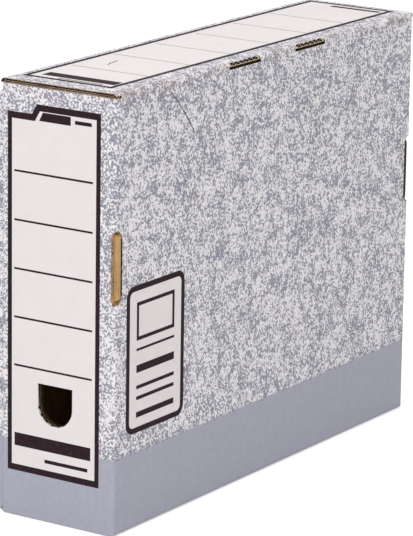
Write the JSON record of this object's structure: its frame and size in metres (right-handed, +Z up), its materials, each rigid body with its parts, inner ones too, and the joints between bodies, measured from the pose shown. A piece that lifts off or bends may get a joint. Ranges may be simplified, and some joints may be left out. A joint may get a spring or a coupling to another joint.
{
  "type": "box file",
  "caption": "Tall narrow corrugated-board box file with a folding side lid, double-layered spine with a thumb hole, and plain printed label panels.",
  "frame": {"origin": "middle of the footprint, on the surface that the box stands on", "axes": "+Z up, -Y towards the spine with the thumb hole, +X towards the large plain side, lid on -X"},
  "size_m": [0.085, 0.33, 0.264],
  "materials": {
    "tray_board": "matte speckled print",
    "lid_board": "matte speckled print"
  },
  "bodies": {
    "tray": {"tray": "tray_board"},
    "lid": {"lid": "lid_board"}
  },
  "joints": [
    {"name": "lid_hinge", "type": "hinge", "parent": "tray", "child": "lid", "pos_m": [-0.04213, 0, 0.00037], "axis": [0, -1, 0], "range_deg": [0, 90]}
  ]
}
